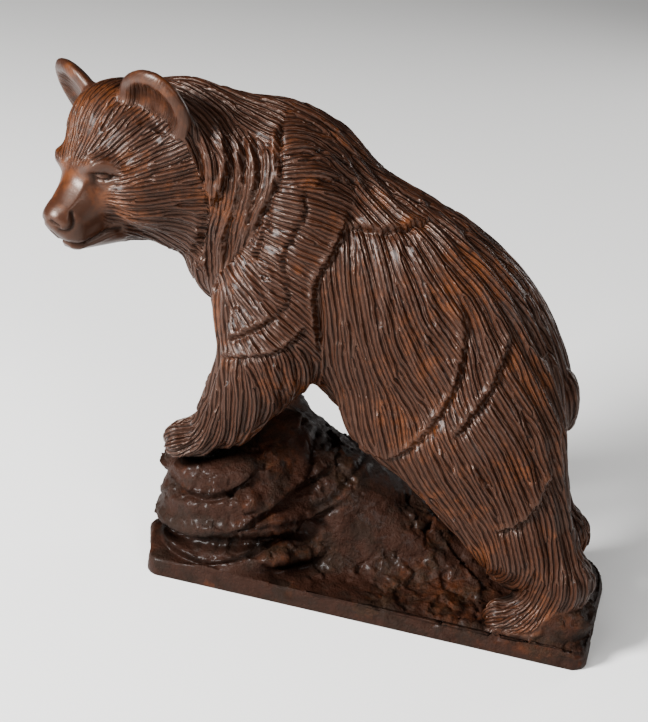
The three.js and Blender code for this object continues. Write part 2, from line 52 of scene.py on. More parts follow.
BASE_LENGTH = 192
BASE_WIDTH = 86
BASE_EDGE_HEIGHT = 9
BASE_CORNER_RADIUS = 7  # of the two corners on the bear's left
BASE_FAR_RADIUS = 22  # of the two on its right
SKIN_CELL = 1.25  # of the skin's first mesh, which is split once
STROKE_PITCH = 2.0  # between two strokes of the fur tool, on the flank
STROKE_DEPTH = 0.5
TUFT_PITCH = 7.5  # between two tufts of strokes
TUFT_DEPTH = 0.8
LOCK_RELIEF = 2.6  # how far a lock of fur stands over the next
CRACK_RELIEF = 3.2  # how far a ledge of the boulder stands over the next
TRIANGLES = 196000

# The strokes' pitch elsewhere on the bear, as shares of the flank's
FORELEG_PITCH = 0.95
PAW_PITCH = 0.75
HEAD_PITCH = 0.82

# Pose of the head: turned to the bear's left, nose down, and leaning to its right
HEAD_TURN = math.radians(59)
HEAD_DROP = math.radians(22.5)
HEAD_LEAN = math.radians(7.5)
SKULL = np.array([-123.0, -22.0, 177.0])
HEAD_REACH = 62  # the farthest of the head from the middle of the skull

low_corner, high_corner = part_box("bear_on_rock")
MM = (high_corner.z - low_corner.z) / DRAWN_HEIGHT

# The smooth masses


def lump(offset, size):
    """Nearly the distance to a ball drawn out to a size along each axis, below 0 inside it."""
    scaled = offset / size
    near = np.sqrt((scaled**2).sum(1))
    slope = np.sqrt(((scaled / size) ** 2).sum(1))
    return near * (near - 1) / np.maximum(slope, 1e-6)


class Mass:
    """A rounded form: its distance from points, a ball round it, and how far it flows into the rest."""

    def __init__(self, distance, centre, reach, blend):
        self.distance = distance
        self.centre = np.array(centre, float)
        self.reach = reach
        self.blend = blend


def ball(centre, size, tilt=0, blend=6):
    """A drawn-out ball, tilted by degrees in side view."""
    turn = math.radians(tilt)
    middle = np.array(centre, float)
    axes = np.array(
        [
            [math.cos(turn), 0, math.sin(turn)],
            [0, 1, 0],
            [-math.sin(turn), 0, math.cos(turn)],
        ]
    )

    def distance(points):
        return lump((points - middle) @ axes.T, np.array(size, float))

    return Mass(distance, centre, max(size), blend)


def limb(start, start_radius, end, end_radius, wide=1, blend=6):
    """A form that tapers from one place to another, wider across the bear than it is deep."""
    first = np.array(start, float)
    way = np.array(end, float) - first

    def distance(points):
        offset = points - first
        along = np.clip(offset @ way / (way @ way), 0, 1)
        radius = start_radius + (end_radius - start_radius) * along
        sizes = np.stack([radius, radius * wide, radius], 1)
        return lump(offset - along[:, None] * way, sizes)

    reach = np.linalg.norm(way) / 2 + max(start_radius, end_radius) * max(1, wide)
    return Mass(distance, first + way / 2, reach, blend)


def both_sides(make):
    return make(-1) + make(1)


def flow(a, b, blend):
    """Two forms as one, with a soft hollow where they meet."""
    touch = np.maximum(0, blend - np.abs(a - b)) / blend
    return np.minimum(a, b) - touch**2 * blend / 4


FAR = 1000.0
BAND = 20.0  # masses farther off than this leave a point alone


def joined(masses, points, found=None):
    """How far points are from all the masses, flowed together one after the other."""
    found = np.full(len(points), FAR) if found is None else found.copy()
    for mass in masses:
        gap = np.sqrt(((points - mass.centre) ** 2).sum(1)) - mass.reach
        near = np.nonzero(gap < BAND)[0]
        if len(near):
            found[near] = flow(found[near], mass.distance(points[near]), mass.blend)
    return found


def smooth(values):
    """From 0 to 1 with soft ends, as values go from 0 to 1."""
    held = np.clip(values, 0, 1)
    return held * held * (3 - 2 * held)


def bell(gap, width):
    """1 where there is no gap, falling softly to 0 over a few widths."""
    return np.exp(-((gap / width) ** 2))


def torso():
    return [
        ball((-37, 0, 144), (42, 31, 40.5), -40, 14),
        ball((-1.5, 0, 122), (53.5, 36, 48), -42, 16),
        ball((35, 0, 107.5), (44, 32, 31), -62, 16),
        ball((-59, 0, 173), (21.5, 20, 28), 0, 14),
        ball((-76, 0, 140), (22.5, 24, 24.5), 0, 14),
        ball((68.5, 0, 98), (5.5, 7, 14), 3, 2),
    ]


def neck():
    return [
        limb((-55, 0, 168.5), 31, (-98, -12, 180), 30, 0.86, 14),
        ball((-96, -10, 160), (14, 17, 23), -26, 8),
    ]


def limb_roots(side):
    return [
        ball((-47, side * 19, 157), (25, 16, 39), 12, 8),
        ball((-53, side * 22, 122), (25, 15, 26), 10, 8),
        ball((32, side * 17, 92.5), (35.5, 18, 35), -56, 10),
        ball((5, side * 20, 81.5), (25, 14, 18), -22, 8),
    ]


def foreleg(elbow, wrist, paw, toes):
    return [
        limb(elbow, 21.5, wrist, 13, 0.85, 8),
        limb(paw, 8.5, toes, 7.5, 1.25, 5),
    ]


def hindleg(knee, ankle, thickness, hock, foot, toes):
    return [
        limb(knee, thickness[0], ankle, thickness[1], 0.57, 8),
        limb(ankle, 15, hock, 11, 0.9, 6),
        limb(hock, 11, foot, 8.5, 1.15, 6),
        limb(foot, 8.5, toes, 6.5, 1.35, 5),
    ]


NEAR_FORELEG = ((-51, -23, 106), (-68, -26, 73), (-79, -27, 63), (-86, -30, 61))
FAR_FORELEG = ((-53, 23, 105), (-76, 24, 74), (-80, 24, 68), (-87, 24, 65))
NEAR_HINDLEG = ((42, -22, 77), (63.5, -26, 43.5), (34, 21), (81, -27, 31), (72, -31, 15), (58, -34, 12))
FAR_HINDLEG = ((36, 22, 77), (56, 24, 44), (30, 18), (74, 24, 26), (64, 27, 16), (51, 29, 12))

BODY = torso() + neck() + both_sides(limb_roots)
BODY += foreleg(*NEAR_FORELEG) + foreleg(*FAR_FORELEG) + hindleg(*NEAR_HINDLEG) + hindleg(*FAR_HINDLEG)

# The head, in its own frame: forward, to the side, and up


def head_axes():
    level = np.array([-math.cos(HEAD_TURN), -math.sin(HEAD_TURN), 0])
    side = np.array([math.sin(HEAD_TURN), -math.cos(HEAD_TURN), 0])
    up = np.array([0, 0, 1.0])
    forward = level * math.cos(HEAD_DROP) - up * math.sin(HEAD_DROP)
    crown = level * math.sin(HEAD_DROP) + up * math.cos(HEAD_DROP)
    cos, sin = math.cos(HEAD_LEAN), math.sin(HEAD_LEAN)
    return np.array([forward, side * cos + crown * sin, crown * cos - side * sin])


HEAD_AXES = head_axes()


def into_head(points):
    return (points - SKULL) @ HEAD_AXES.T


HEAD = [
    ball((-6, 0, 3), (22.5, 27, 26), 0, 8),
    ball((-2, 14, -10), (20, 15, 18), 0, 8),
    ball((10, 0, 5), (11, 16, 9), 0, 6),
    ball((15, 10, 6), (6, 6, 3.5), 0, 4),
    limb((15.5, 0, -7), 14, (30.5, 0, -11), 10, 0.95, 6),
    limb((5, 0, -24), 11.5, (31, 0, -20.5), 5.5, 1, 5),
    ball((36.5, 0, -8.5), (4, 6, 4), 0, 3),
]

EAR_CENTRE = np.array([-9, 26.8, 19.6])
EAR_LEAN = math.radians(37)
EAR_TURN = math.radians(14)


def ear_axes():
    tip = np.array([0, math.sin(EAR_LEAN), math.cos(EAR_LEAN)])
    face = np.array([math.cos(EAR_TURN), math.sin(EAR_TURN), 0])
    face = face - tip * (face @ tip)
    face = face / np.linalg.norm(face)
    return np.array([tip, np.cross(tip, face), face])


EAR_AXES = ear_axes()


def in_ear(aside):
    """Places along the ear to its tip, across it, and out of its hollow face."""
    return (aside - EAR_CENTRE) @ EAR_AXES.T


def ear(aside):
    place = in_ear(aside)
    place[:, 1] /= 1 - 0.12 * np.clip(place[:, 0] / 18, -1, 1)
    disc = lump(place, np.array([18, 17.5, 5.0]))
    hollow = lump(place - np.array([1, 0, 4.5]), np.array([13, 12.5, 4.5]))
    return -flow(-disc, hollow, 2)


def head(aside):
    return flow(joined(HEAD, aside), ear(aside), 3)


def folded(place):
    """Places on the head with both its sides laid on one."""
    return place * np.array([1, 0, 1]) + np.abs(place) * np.array([0, 1, 0])


def bear(points):
    found = joined(BODY, points)
    near = np.nonzero(np.linalg.norm(points - SKULL, axis=1) < HEAD_REACH + BAND)[0]
    found[near] = flow(found[near], head(folded(into_head(points[near]))), 9)
    return found


# The rock: a plain-sided base, a hillside that falls to the tail end, and a cracked boulder in front

ROCK = [
    limb((-56, 9, 33), 34, (63, 10, -10), 22, 0.95, 14),
    ball((-55, 24, 56), (9, 9, 12), 0, 4),
    ball((-70, 22, 46), (24, 18, 17), 0, 6),
    ball((-71, -10, 47), (30, 27, 10), 8, 4),
    ball((-68, -12, 37), (33, 29, 10), 11, 6),
    ball((-65, -13, 27), (37, 30, 10), 10, 6),
    ball((-63, -13, 12), (40, 30, 10), 8, 6),
    ball((79, -24, 14), (17, 18, 12), 20, 5),
]


def outside_base(points):
    radius = np.where(points[:, 1] < 0, BASE_CORNER_RADIUS, BASE_FAR_RADIUS)
    ax = np.maximum(0, np.abs(points[:, 0]) - (BASE_LENGTH / 2 - radius))
    ay = np.maximum(0, np.abs(points[:, 1]) - (BASE_WIDTH / 2 - radius))
    return np.hypot(ax, ay) - radius


def rock(points):
    plinth = np.maximum(outside_base(points), points[:, 2] - BASE_EDGE_HEIGHT)
    return joined(ROCK, points, plinth)


def casting(points):
    return np.maximum(flow(bear(points), rock(points), 1.2), -points[:, 2])


SLOPE_STEP = 0.05  # over which a shape's slope is measured
LEAST_SLOPE = 0.2
LONGEST_PULL = 1.5


def steepest(shape, points):
    """A shape's distance at each point, and the way in which it grows."""
    here = shape(points)
    slope = np.stack([shape(points + SLOPE_STEP * axis) - here for axis in np.eye(3)], 1) / SLOPE_STEP
    return here, slope


def pulled(shape, points, longest):
    """Points moved once towards a shape's surface, none by more than the longest pull."""
    gap, slope = steepest(shape, points)
    pull = np.clip(gap / np.maximum((slope**2).sum(1), LEAST_SLOPE), -longest, longest)
    return points - pull[:, None] * slope


def settled(points, rounds):
    """Points drawn onto the casting's smooth surface, with the surface's outward directions."""
    for _ in range(rounds):
        points = pulled(casting, points, LONGEST_PULL)
    slope = steepest(casting, points)[1]
    points[:, 2] = np.maximum(points[:, 2], 0)
    return points, slope / np.linalg.norm(slope, axis=1)[:, None]


# The skin: a fine closed mesh on the smooth masses, split once


def evaluated(thing):
    """The thing's mesh with its modifiers made real."""
    graph = bpy.context.evaluated_depsgraph_get()
    return bpy.data.meshes.new_from_object(thing.evaluated_get(graph))


def places_of(mesh):
    """The places of a mesh's points, in millimetres."""
    places = np.empty(len(mesh.vertices) * 3)
    mesh.vertices.foreach_get("co", places)
    return places.reshape(-1, 3) / MM


def corners_of(mesh, sides):
    """The numbers of the points at the corners of each face."""
    corners = np.empty(len(mesh.loops), np.int64)
    mesh.loops.foreach_get("vertex_index", corners)
    return corners.reshape(-1, sides)


def voxel_skin():
    """The solid of the casting, meshed again in small squares."""
    solid = bpy.data.objects.new("skin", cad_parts["bear_on_rock"].data.copy())
    bpy.context.scene.collection.objects.link(solid)
    squares = solid.modifiers.new("squares", "REMESH")
    squares.mode = "VOXEL"
    squares.voxel_size = SKIN_CELL * MM
    mesh = evaluated(solid)
    bpy.data.objects.remove(solid)
    points, faces = places_of(mesh), corners_of(mesh, 4)
    bpy.data.meshes.remove(mesh)
    return points, faces


def edges_of(faces):
    """Every edge once, and for each side of each face the number of its edge."""
    ends = np.stack([faces, np.roll(faces, -1, 1)], 2).reshape(-1, 2)
    ends = np.sort(ends, 1)
    keys = ends[:, 0] * (faces.max() + 1) + ends[:, 1]
    kept, number = np.unique(keys, return_inverse=True)
    edges = np.stack([kept // (faces.max() + 1), kept % (faces.max() + 1)], 1)
    return edges, number.reshape(faces.shape)


def evened(points, edges, rounds):
    """Points moved halfway to the middle of their neighbours."""
    count = np.bincount(edges.ravel(), minlength=len(points))[:, None]
    for _ in range(rounds):
        total = np.zeros_like(points)
        for axis in range(3):
            total[:, axis] = np.bincount(edges[:, 0], points[edges[:, 1], axis], len(points))
            total[:, axis] += np.bincount(edges[:, 1], points[edges[:, 0], axis], len(points))
        points = points + 0.5 * (total / count - points)
    return points


def split(points, faces):
    """Each square as four smaller ones."""
    edges, number = edges_of(faces)
    middles = points[edges].mean(1)
    centres = points[faces].mean(1)
    first_middle = len(points)
    first_centre = first_middle + len(middles)
    centre = first_centre + np.arange(len(faces))
    parts = []
    for side in range(4):
        before = first_middle + number[:, side - 1]
        after = first_middle + number[:, side]
        parts.append(np.stack([faces[:, side], after, centre, before], 1))
    return np.concatenate([points, middles, centres]), np.concatenate(parts)


def coarse_skin():
    """The squares laid smoothly on the casting. Those of the flat underside stay where they are."""
    points, faces = voxel_skin()
    points = settled(points, 2)[0]
    flat = points[:, 2] < 0.3
    eased = evened(points, edges_of(faces)[0], 2)
    points, outward = settled(np.where(flat[:, None], points, eased), 2)
    return points, outward, faces


# The way the fur lies. A stroke is a place in side view, x and z, with its slope there in degrees.

NECK_STROKES = (
    (-85, 205, -40), (-80, 195, -55), (-65, 203, -20), (-58, 198, -25), (-68, 188, -60),
    (-76, 175, -90), (-60, 182, -85), (-58, 170, -110), (-68, 155, -110), (-72, 140, -95),
)
FORELEG_STROKES = (
    (-50, 198, 42), (-45, 187, 20), (-30, 182, 0), (-50, 170, -5), (-30, 170, -10), (-57, 155, -10),
    (-35, 155, -18), (-65, 137, -35), (-45, 140, -20), (-72, 120, -80), (-60, 125, -40), (-32, 127, -35),
    (-58, 112, -40), (-42, 118, -30), (-65, 97, -80), (-42, 104, -72), (-62, 82, -90), (-77, 73, -105),
    (-86, 66, -155),
)
BACK_STROKES = ((-55, 203, -10), (-38, 197, -30), (-24, 183, -50), (-14, 172, -50), (2, 173, -32))
FLANK_STROKES = (
    (-24, 155, -80), (-25, 115, -86), (-8, 158, -70), (8, 160, -57), (20, 155, -48), (2, 140, -65),
    (-8, 125, -75), (5, 120, -60), (22, 130, -45), (15, 103, -45), (-12, 95, -76), (2, 85, -68),
    (8, 80, -72),
)
RUMP_STROKES = (
    (25, 161, -40), (42, 146, -52), (34, 130, -65), (36, 115, -70), (55, 125, -60), (60, 105, -57),
    (46, 108, -48), (70, 95, -66), (42, 93, -45), (32, 75, -55), (52, 78, -60), (66, 70, -62),
    (46, 54, -55), (60, 50, -67), (75, 50, -76), (80, 38, -82), (74, 27, -105), (64, 20, -125),
    (56, 16, -160),
)

# Where one lie of the fur meets another, in side view, going down from the top
SHOULDER_FRONT = ((-57, 201), (-54, 190), (-52, 180), (-57, 166), (-62, 153), (-74, 138), (-85, 125))
SHOULDER_BACK = (
    (-57, 203), (-38, 195), (-26, 182), (-23, 170), (-26, 157), (-32, 142), (-31, 127), (-28, 110),
)
BACK_FOOT = ((-24, 165), (-10, 164), (1, 167), (12, 171))
FLANK_BACK = ((22, 160), (24, 145), (29, 130), (28, 109), (18, 87), (3, 71), (-12, 76))

# The outlines of the parts of the coat. The rump is what lies outside them all.
NECK_OUTLINE = ((-140, 120), (-140, 240), (-57, 240)) + SHOULDER_FRONT
FORELEG_OUTLINE = SHOULDER_BACK + ((-33, 95), (-45, 85), (-45, 40), (-110, 40), (-110, 125))
FORELEG_OUTLINE += SHOULDER_FRONT[::-1]
BACK_OUTLINE = SHOULDER_BACK[:4] + BACK_FOOT + ((16, 176), (20, 240), (-57, 240))
FLANK_OUTLINE = SHOULDER_BACK[3:] + ((-33, 95), (-35, 80)) + FLANK_BACK[::-1] + BACK_FOOT[::-1]


def within(outline, x, z):
    """Which places lie inside an outline in side view."""
    inside = np.zeros(len(x), bool)
    for (ax, az), (bx, bz) in zip(outline, outline[1:] + outline[:1]):
        spans = (az > z) != (bz > z)
        if az != bz:
            inside ^= spans & (x < ax + (z - az) * (bx - ax) / (bz - az))
    return inside


STROKE_EASE = 20  # keeps the lie smooth right at a stroke, in square millimetres


def lie_from(strokes, x, z):
    """The slope at each place, as a way along x and z, from the nearest strokes."""
    way = np.zeros((len(x), 2))
    for at_x, at_z, slope in strokes:
        weight = 1 / ((x - at_x) ** 2 + (z - at_z) ** 2 + STROKE_EASE) ** 2
        way[:, 0] += weight * math.cos(math.radians(slope))
        way[:, 1] += weight * math.sin(math.radians(slope))
    return way


def body_lie(points):
    """The way the fur lies on the body, as seen from the side."""
    x, z = points[:, 0], points[:, 2]
    way = lie_from(RUMP_STROKES, x, z)
    for outline, strokes in (
        (FLANK_OUTLINE, FLANK_STROKES),
        (BACK_OUTLINE, BACK_STROKES),
        (FORELEG_OUTLINE, FORELEG_STROKES),
        (NECK_OUTLINE, NECK_STROKES),
    ):
        here = within(outline, x, z)
        way[here] = lie_from(strokes, x[here], z[here])
    return np.stack([way[:, 0], np.zeros(len(way)), way[:, 1]], 1)


def behind_cheek(place):
    """How far a place on the head stands before the edge of its fur."""
    edge = -9 + 0.0026 * np.minimum(0, place[:, 2]) ** 2 - 0.9 * np.maximum(0, place[:, 2] - 8)
    return place[:, 0] - edge


def bare_face(place):
    """1 on the smooth muzzle and round the eyes, 0 where the head has fur."""
    edge = 11.5 + 8 * (1 - bell(place[:, 2] - 4, 8))
    edge -= 6 * smooth((-18.5 - place[:, 2]) / 3)
    return smooth((np.minimum(place[:, 0] - edge, 9 - place[:, 2]) + 0.8) / 3)


def on_ear(aside):
    return ear(aside) < 1.5


def in_cup(aside, radius, rim):
    """1 in the hollow of the ear, 0 outside its radius, with a soft rim."""
    place = in_ear(aside)
    return smooth(place[:, 2] / 1.5) * smooth((radius - np.linalg.norm(place[:, :2], axis=1)) / rim)


def head_lie(place):
    """Fur sweeps back from between the eyes, and droops in the ruff."""
    way = place - np.array([27.0, 0, -3])
    way[:, 2] -= 0.3 * np.maximum(0, -20 - place[:, 2])
    ears = on_ear(folded(place))
    side = np.where(place[ears, 1] < 0, -1, 1)
    way[ears] = -EAR_AXES[0]
    way[ears, 1] *= side
    return way


def across_fur(points, outward):
    """For each point the way across its strokes, and how much fur it has. Rock and bare skin have none."""
    way = body_lie(points)
    place = into_head(points)
    on_head = (np.linalg.norm(place, axis=1) < HEAD_REACH + 4) & (behind_cheek(place) > 0)
    on_head &= (np.abs(place[:, 1]) < 37) | (place[:, 2] > -35)
    way[on_head] = head_lie(place[on_head]) @ HEAD_AXES
    across = np.cross(outward, way)
    length = np.linalg.norm(across, axis=1)
    across /= np.maximum(length, 1e-9)[:, None]
    furred = smooth((rock(points) - bear(points)) / 1.5)
    furred *= 1 - np.where(on_head, bare_face(place), 0)
    aside = folded(place)
    furred *= np.where(on_head & on_ear(aside), 0.08 + 0.5 * in_cup(aside, 14, 3), 1)
    return across, furred, on_head


AGREEMENT = 8  # how much more strokes that lie alike count than those at an angle
OWN_SHARE = 0.3  # how much a point's own turn counts beside its neighbours'


def waves(points, across, furred, edges, pitch, start, rounds):
    """Strokes a pitch apart: each point takes the turn of the wave that its neighbours call for."""
    first, second = edges[:, 0], edges[:, 1]
    agree = np.maximum(0, (across[first] * across[second]).sum(1)) ** AGREEMENT
    weight = agree * np.minimum(furred[first], furred[second])
    between = (across[first] / pitch[first, None] + across[second] / pitch[second, None]) / 2
    turn = np.exp(2j * np.pi * ((points[second] - points[first]) * between).sum(1)) * weight
    wave = start
    for _ in range(rounds):
        ahead = wave[first] * turn
        back = wave[second] * np.conj(turn)
        total = np.bincount(second, ahead.real, len(wave)) + np.bincount(first, back.real, len(wave))
        other = np.bincount(second, ahead.imag, len(wave)) + np.bincount(first, back.imag, len(wave))
        wave = wave * OWN_SHARE + total + 1j * other
        wave /= np.maximum(np.abs(wave), 1e-9)
    return wave


def fineness(points, on_head):
    """The strokes' pitch at each point as a share of the flank's."""
    x, z = points[:, 0], points[:, 2]
    share = np.where(within(FORELEG_OUTLINE, x, z) | within(NECK_OUTLINE, x, z), FORELEG_PITCH, 1.0)
    paw = (x < -60) & (z < 82)
    hind_foot = (x > 40) & (z < 36)
    share = np.where(paw | hind_foot, PAW_PITCH, share)
    return np.where(on_head, HEAD_PITCH, share)


WAVE_ROUNDS = 300  # in which the strokes find each other on the first squares
SPLIT_ROUNDS = 24  # in which they spread to the smaller ones


def coat(points, outward, faces):
    """The split skin with its fur: the turn of the stroke wave and of the tuft wave at each point."""
    edges = edges_of(faces)[0]
    across, furred, on_head = across_fur(points, outward)
    fine = fineness(points, on_head)
    start = np.exp(2j * np.pi * np.random.default_rng(7).random(len(points)))
    pitches = (STROKE_PITCH, TUFT_PITCH)
    found = [waves(points, across, furred, edges, pitch * fine, start, WAVE_ROUNDS) for pitch in pitches]
    after, after_faces = split(points, faces)
    after, outward = settled(after, 2)
    edges = edges_of(after_faces)[0]
    across, furred, on_head = across_fur(after, outward)
    fine = fineness(after, on_head)
    pad = np.zeros(len(after) - len(points))
    stroke, tuft = (
        waves(after, across, furred, edges, pitch * fine, np.concatenate([wave, pad]), SPLIT_ROUNDS)
        for pitch, wave in zip(pitches, found)
    )
    return after, outward, after_faces, across, furred, on_head, stroke, tuft, fine


# Carved edges in side view, x and z. The side on the left of the way along lies on top.

NECK_LOCKS = (
    ((-85, 195), (-82, 180), (-79, 165), (-75, 171), (-73, 185), (-79, 199)),
    ((-74, 138), (-73, 154), (-68, 167), (-67, 181), (-71, 197)),
    ((-63, 153), (-62, 168), (-61, 181), (-66, 195)),
    ((-62, 153), (-57, 166), (-52, 180), (-54, 190), (-57, 201)),
)
SIDE_LOCKS = (
    ((-28, 110), (-31, 127), (-32, 142), (-26, 157), (-23, 173)),
    ((-66, 112), (-57, 118), (-46, 126)),
    ((-70, 103), (-58, 107), (-43, 113), (-34, 124)),
    ((-24, 165), (-10, 164), (1, 167), (12, 171)),
    ((-12, 76), (3, 71), (18, 87), (28, 109), (29, 130), (24, 145)),
    ((30, 88), (37, 101), (43, 114), (46, 133)),
    ((51, 52), (60, 57), (67, 66), (71, 82)),
)
SMALL_LOCKS = (
    ((-42, 140), (-46, 149), (-42, 161), (-39, 170), (-42, 179)),
    ((-42, 178), (-33, 181), (-24, 179)),
    ((-58, 146), (-56, 156), (-54, 163), (-57, 169)),
    ((-79, 165), (-74, 173), (-72, 181), (-73, 188), (-79, 199)),
    ((-46, 126), (-42, 133), (-44, 141)),
    ((52, 70), (45, 74), (39, 82)),
)
ROCK_CRACKS = (
    ((-97, 43), (-81, 40), (-67, 42), (-57, 47), (-51, 54)),
    ((-98, 24), (-78, 21), (-59, 26), (-38, 43), (-19, 53)),
    ((-98, 13), (-80, 12), (-62, 13), (-41, 23), (-14, 41)),
)
THIN_CRACKS = (
    ((-37, 63), (-35, 57), (-33, 50), (-35, 42)),
    ((-13, 53), (-17, 47), (-22, 40), (-30, 35)),
    ((-58, 27), (-45, 31), (-32, 31), (-17, 26)),
    ((-46, 16), (-39, 10), (-33, 7), (-28, 2)),
    ((3, 40), (14, 34), (22, 26), (36, 17)),
)

# What a carved edge is like: half the width of its fall, and how far its high and low sides reach
LOCK_EDGE = (0.7, 7, 3.2)
SMALL_LOCK_EDGE = (0.7, 4, 2.5)
RUFF_EDGE = (0.9, 8, 4.5)
LEDGE_EDGE = (0.7, 6, 3)
EDGE_REACH = 24  # beyond this an edge changes nothing
EDGE_DOTS = 8  # to each stretch of a carved edge


def curved(points, dots):
    """A smooth line through points, as a number of dots to each stretch."""
    held = np.array([points[0], *points, points[-1]], float)
    t = np.linspace(0, 1, dots, endpoint=False)[:, None]
    line = []
    for a, b, c, d in zip(held, held[1:], held[2:], held[3:]):
        bend = t**2 * (a - 2.5 * b + 2 * c - d / 2) + t**3 * (d - a + 3 * b - 3 * c) / 2
        line.append(b + t * (c - a) / 2 + bend)
    return np.concatenate(line + [held[-1:]])


def edge_profile(across, sharp, top, foot):
    """A lip on the high side, a quick fall, a narrow groove and a slow rise on the low side."""
    slope = -0.1 + 0.5 * across / sharp
    high_side = 0.4 * np.exp((sharp - across) / top)
    low_side = -0.6 * np.exp((sharp + across) / foot)
    lip = 0.14 * bell(across - 1.3, 1.1)
    gap = 0.22 * bell(across + 1.1, 0.8)
    return np.where(across > sharp, high_side, np.where(across < -sharp, low_side, slope)) + lip - gap


def step_at(edge, x, z, lead, profile):
    """How high each place stands beside a carved edge, and how near it is to the edge itself."""
    line = curved(edge, EDGE_DOTS)
    height = np.zeros(len(x))
    rim = np.zeros(len(x))
    low, high = line.min(0) - EDGE_REACH, line.max(0) + EDGE_REACH
    near = np.nonzero((x > low[0]) & (x < high[0]) & (z > low[1]) & (z < high[1]))[0]
    nearest = np.full(len(near), FAR)
    across = np.zeros(len(near))
    along = np.zeros(len(near))
    for number, (start, end) in enumerate(zip(line, line[1:])):
        way = end - start
        dx, dz = x[near] - start[0], z[near] - start[1]
        t = np.clip((dx * way[0] + dz * way[1]) / (way @ way), 0, 1)
        gap = np.hypot(dx - t * way[0], dz - t * way[1])
        closer = gap < nearest
        side = np.where(way[0] * dz - way[1] * dx >= 0, 1, -1)
        across = np.where(closer, gap * side, across)
        along = np.where(closer, (number + t) / (len(line) - 1), along)
        nearest = np.minimum(nearest, gap)
    across = across + lead[near]
    fade = smooth(along / 0.15) * smooth((1 - along) / 0.15)
    height[near] = fade * edge_profile(across, *profile)
    rim[near] = fade * bell(across - 0.2, 1.5)
    return height, rim


def lock_relief(points, place, furred, stroke):
    """The steps where one lock of fur lies over the next, in millimetres, and where their rims run."""
    x, z = points[:, 0], points[:, 2]
    ragged = 0.3 * stroke.real + 0.5 * np.sin(x * 0.9 + z * 0.7) * np.sin(z * 0.5 - x * 0.4) - 0.6
    height = np.zeros(len(points))
    rim = np.zeros(len(points))
    for edge in NECK_LOCKS + SIDE_LOCKS:
        step, on_edge = step_at(edge, x, z, ragged, LOCK_EDGE)
        height += step
        rim = np.maximum(rim, on_edge)
    for edge in SMALL_LOCKS:
        height += 0.55 * step_at(edge, x, z, 1.6 * ragged, SMALL_LOCK_EDGE)[0]
    height *= smooth((np.abs(points[:, 1]) - 8) / 10) * smooth(furred * 2)
    aside, up = np.abs(place[:, 1]), place[:, 2]
    across = behind_cheek(place) + 0.9 * np.maximum(0, up - 8) + ragged
    span = smooth((aside - 14) / 10) * smooth((8 - up) / 8) * smooth((up + 66) / 10)
    span *= smooth((38 - aside) / 5)
    height += span * edge_profile(across, *RUFF_EDGE)
    return height * LOCK_RELIEF, rim


# Lines on the face, in the head's frame, with a height (a groove is below 0) and a half width
FACE_LINES = {
    "upper eyelid": (
        ((18.3, 12.5, 4.2), (17.4, 14.0, 3.3), (16.2, 15.7, 2.1), (15.2, 17.4, 0.9), (13.6, 19.6, 0.4)),
        -1.3,
        0.6,
    ),
    "lower eyelid": (
        ((18.9, 12.7, 1.3), (17.7, 14.3, 0.6), (16.2, 16.3, 0.2), (15.2, 17.4, 0.6)),
        -1.0,
        0.55,
    ),
    "eyeball": (((17.7, 14.0, 2.0), (16.2, 15.8, 1.3)), 0.9, 0.8),
    "fold under the eye": (((18.9, 13.0, -0.2), (17.6, 14.9, -1.0), (16.0, 17.0, -0.3)), 0.5, 0.7),
    "crease under the fold": (((19.6, 12.3, -1.4), (18.2, 14.4, -2.7), (16.2, 17.2, -2.2)), -0.35, 0.8),
    "inner corner of the eye": (((19.4, 11.6, 3.4), (20.3, 11.2, 0.0)), -0.9, 1.5),
    "brow": (((17.6, 12.2, 7.0), (15.0, 15.6, 6.6), (13.0, 18.2, 4.9), (12.2, 20.2, 3.0)), 1.3, 2.2),
    "edge of the nose": (
        ((33.0, 8.7, -6.6), (34.0, 8.9, -10.3), (35.6, 8.1, -12.6), (37.6, 6.4, -13.2), (39.3, 5.0, -12.0)),
        -1.0,
        0.75,
    ),
    "wing of the nostril": (((36.2, 7.4, -9.8), (38.0, 6.0, -10.8)), 0.6, 1.5),
    "nostril": (((40.6, 2.8, -7.6), (40.2, 4.4, -8.9), (39.4, 5.4, -10.2)), -1.7, 0.8),
    "front of the mouth": (
        ((38.6, 0.0, -18.0), (37.4, 3.0, -19.6), (34.6, 4.9, -21.6), (30.4, 5.9, -22.3)),
        -1.5,
        0.65,
    ),
    "side of the mouth": (
        ((30.4, 5.9, -22.3), (26.8, 6.8, -22.3), (23.6, 7.7, -21.7), (20.5, 8.6, -22.0), (16.4, 9.6, -24.0)),
        -1.3,
        0.65,
    ),
    "lower lip": (
        ((36.6, 3.0, -22.4), (31.0, 5.4, -24.6), (25.0, 7.0, -24.5), (19.0, 8.2, -24.6)),
        0.6,
        1.2,
    ),
    "upper lip": (((37.6, 5.2, -17.4), (32.0, 7.6, -19.4), (25.0, 8.8, -19.0)), 0.5, 1.8),
    "groove under the nose": (((39.3, 0.0, -12.4), (39.0, 0.0, -17.4)), -0.8, 0.6),
    "side of the muzzle": (((24.0, 9.4, 1.0), (28.0, 8.6, -3.0), (33.0, 7.4, -5.5)), 0.5, 1.8),
}
FACE_DOTS = 4  # to each stretch of a line
FACE_START = 8  # how far forward in the head the lines start
SHADED_GROOVE_DEPTH = 0.5  # grooves deeper than this get painted shade


def laid_on_head(line):
    """A smooth line through points, drawn onto the smooth skin of the head."""
    dots = curved(line, FACE_DOTS)
    for _ in range(4):
        dots = pulled(head, dots, FAR)
    return dots


def gap_to_line(points, line):
    """How far points are from the nearest place of a line."""
    nearest = np.full(len(points), FAR)
    for start, end in zip(line, line[1:]):
        way = end - start
        along = np.clip((points - start) @ way / max(way @ way, 1e-9), 0, 1)
        nearest = np.minimum(nearest, np.linalg.norm(points - start - along[:, None] * way, axis=1))
    return nearest


